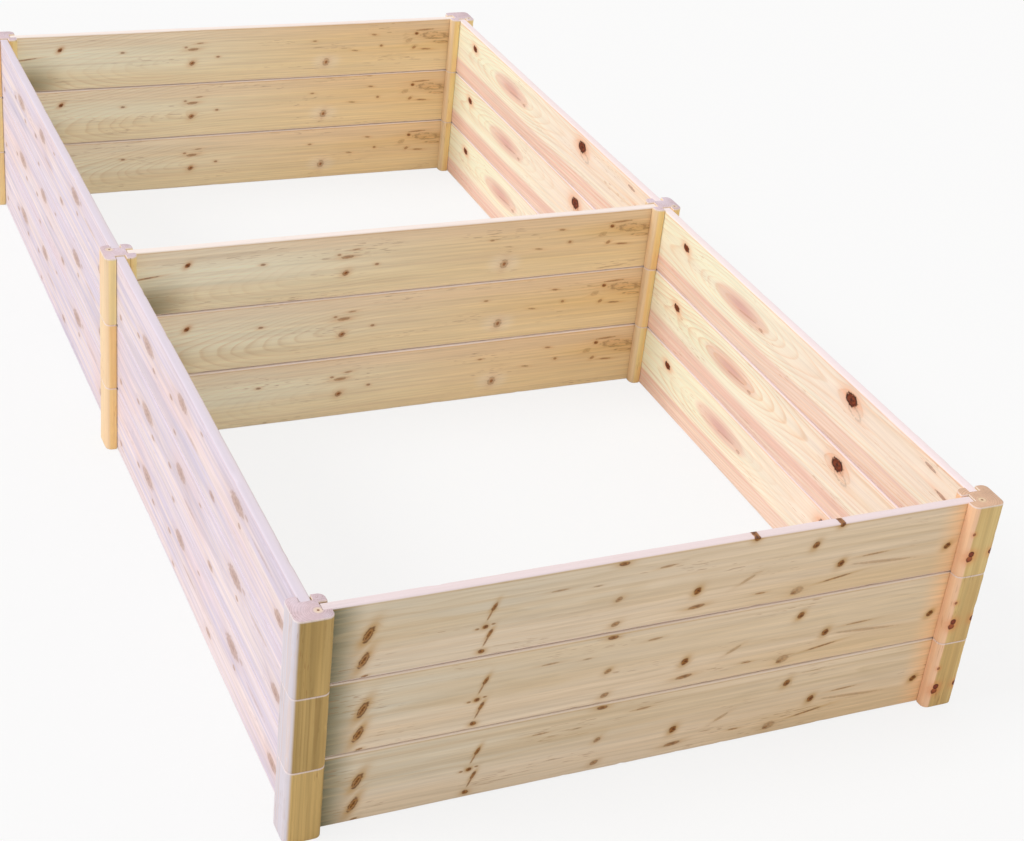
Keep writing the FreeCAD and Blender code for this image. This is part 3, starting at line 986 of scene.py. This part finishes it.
# ---- Floor, light and camera ----

FLOOR_HALF, FLOOR_LEVEL = 30.0, -0.0005
FLOOR_GREY, FLOOR_GLOW = 0.80, 0.80     # its colour, and the white share the camera sees
SKY_COLOUR, SKY_STRENGTH = (1.0, 0.985, 0.968, 1), 0.75
SUN_COLOUR, SUN_STRENGTH, SUN_SPREAD = (1.0, 0.975, 0.97), 1.25, math.radians(22)
SUN_HEADING, SUN_DOWN = math.radians(102), math.radians(42)
CAMERA_PLACE = (-1.347, -3.262, 2.072)
CAMERA_HEADING, CAMERA_DOWN, CAMERA_ROLL = (math.radians(a) for a in (26.6, 30.49, 6.72))
FOCAL_PIXELS, FRAME_PIXELS, SENSOR_WIDTH = 1929, 1024, 36.0

scene = bpy.context.scene
scene.view_settings.view_transform = "Standard"

floor_mesh = bpy.data.meshes.new("floor")
floor_corners = [(x * FLOOR_HALF, y * FLOOR_HALF, FLOOR_LEVEL)
                 for x, y in ((-1, -1), (1, -1), (1, 1), (-1, 1))]
floor_mesh.from_pydata(floor_corners, [], [(0, 1, 2, 3)])
floor = bpy.data.objects.new("floor", floor_mesh)
scene.collection.objects.link(floor)
floor_paint, r = new_material("white floor")
seen = r.node("ShaderNodeLightPath").outputs["Is Camera Ray"]
matt = r.node("ShaderNodeBsdfDiffuse", {"Color": (FLOOR_GREY, FLOOR_GREY, FLOOR_GREY, 1)})
glow = r.node("ShaderNodeEmission", {"Color": (1, 1, 1, 1), "Strength": 1.0})
bright = r.node("ShaderNodeMixShader",
                {0: r.times(seen, FLOOR_GLOW), 1: matt.outputs[0], 2: glow.outputs[0]})
out = r.node("ShaderNodeOutputMaterial")
floor_paint.node_tree.links.new(bright.outputs[0], out.inputs["Surface"])
floor_mesh.materials.append(floor_paint)

world = bpy.data.worlds.new("studio")
scene.world = world
world.use_nodes = True
world.node_tree.nodes.clear()
w = Recipe(world.node_tree)
path = w.node("ShaderNodeLightPath").outputs
soft = w.node("ShaderNodeBackground", {"Color": SKY_COLOUR, "Strength": SKY_STRENGTH})
plain = w.node("ShaderNodeBackground", {"Color": (1, 1, 1, 1), "Strength": 1.0})
which = w.node("ShaderNodeMixShader",
               {0: path["Is Camera Ray"], 1: soft.outputs[0], 2: plain.outputs[0]})
sky = w.node("ShaderNodeOutputWorld")
world.node_tree.links.new(which.outputs[0], sky.inputs["Surface"])


def aim(obj, forward, roll=0.0):
    """Turns a lamp or camera to look along forward, with its right side raised by roll."""
    forward = np.array(forward, float) / np.linalg.norm(forward)
    right = np.cross(forward, (0, 0, 1))
    right /= np.linalg.norm(right)
    up = np.cross(right, forward)
    x = math.cos(roll) * right + math.sin(roll) * up
    y = -math.sin(roll) * right + math.cos(roll) * up
    obj.rotation_euler = Matrix(np.stack([x, y, -forward], 1).tolist()).to_euler()


def from_angles(heading, down):
    """The direction that looks down by one angle and turns from +Y towards +X by the other."""
    return math.sin(heading) * math.cos(down), math.cos(heading) * math.cos(down), -math.sin(down)


sun_lamp = bpy.data.lights.new("window light", "SUN")
sun_lamp.energy = SUN_STRENGTH
sun_lamp.angle = SUN_SPREAD
sun_lamp.color = SUN_COLOUR
sun = bpy.data.objects.new("window light", sun_lamp)
scene.collection.objects.link(sun)
aim(sun, from_angles(SUN_HEADING, SUN_DOWN))

camera_data = bpy.data.cameras.new("camera")
camera_data.sensor_width = SENSOR_WIDTH
camera_data.lens = FOCAL_PIXELS / FRAME_PIXELS * SENSOR_WIDTH
camera = bpy.data.objects.new("camera", camera_data)
scene.collection.objects.link(camera)
camera.location = CAMERA_PLACE
aim(camera, from_angles(CAMERA_HEADING, CAMERA_DOWN), CAMERA_ROLL)
scene.camera = camera
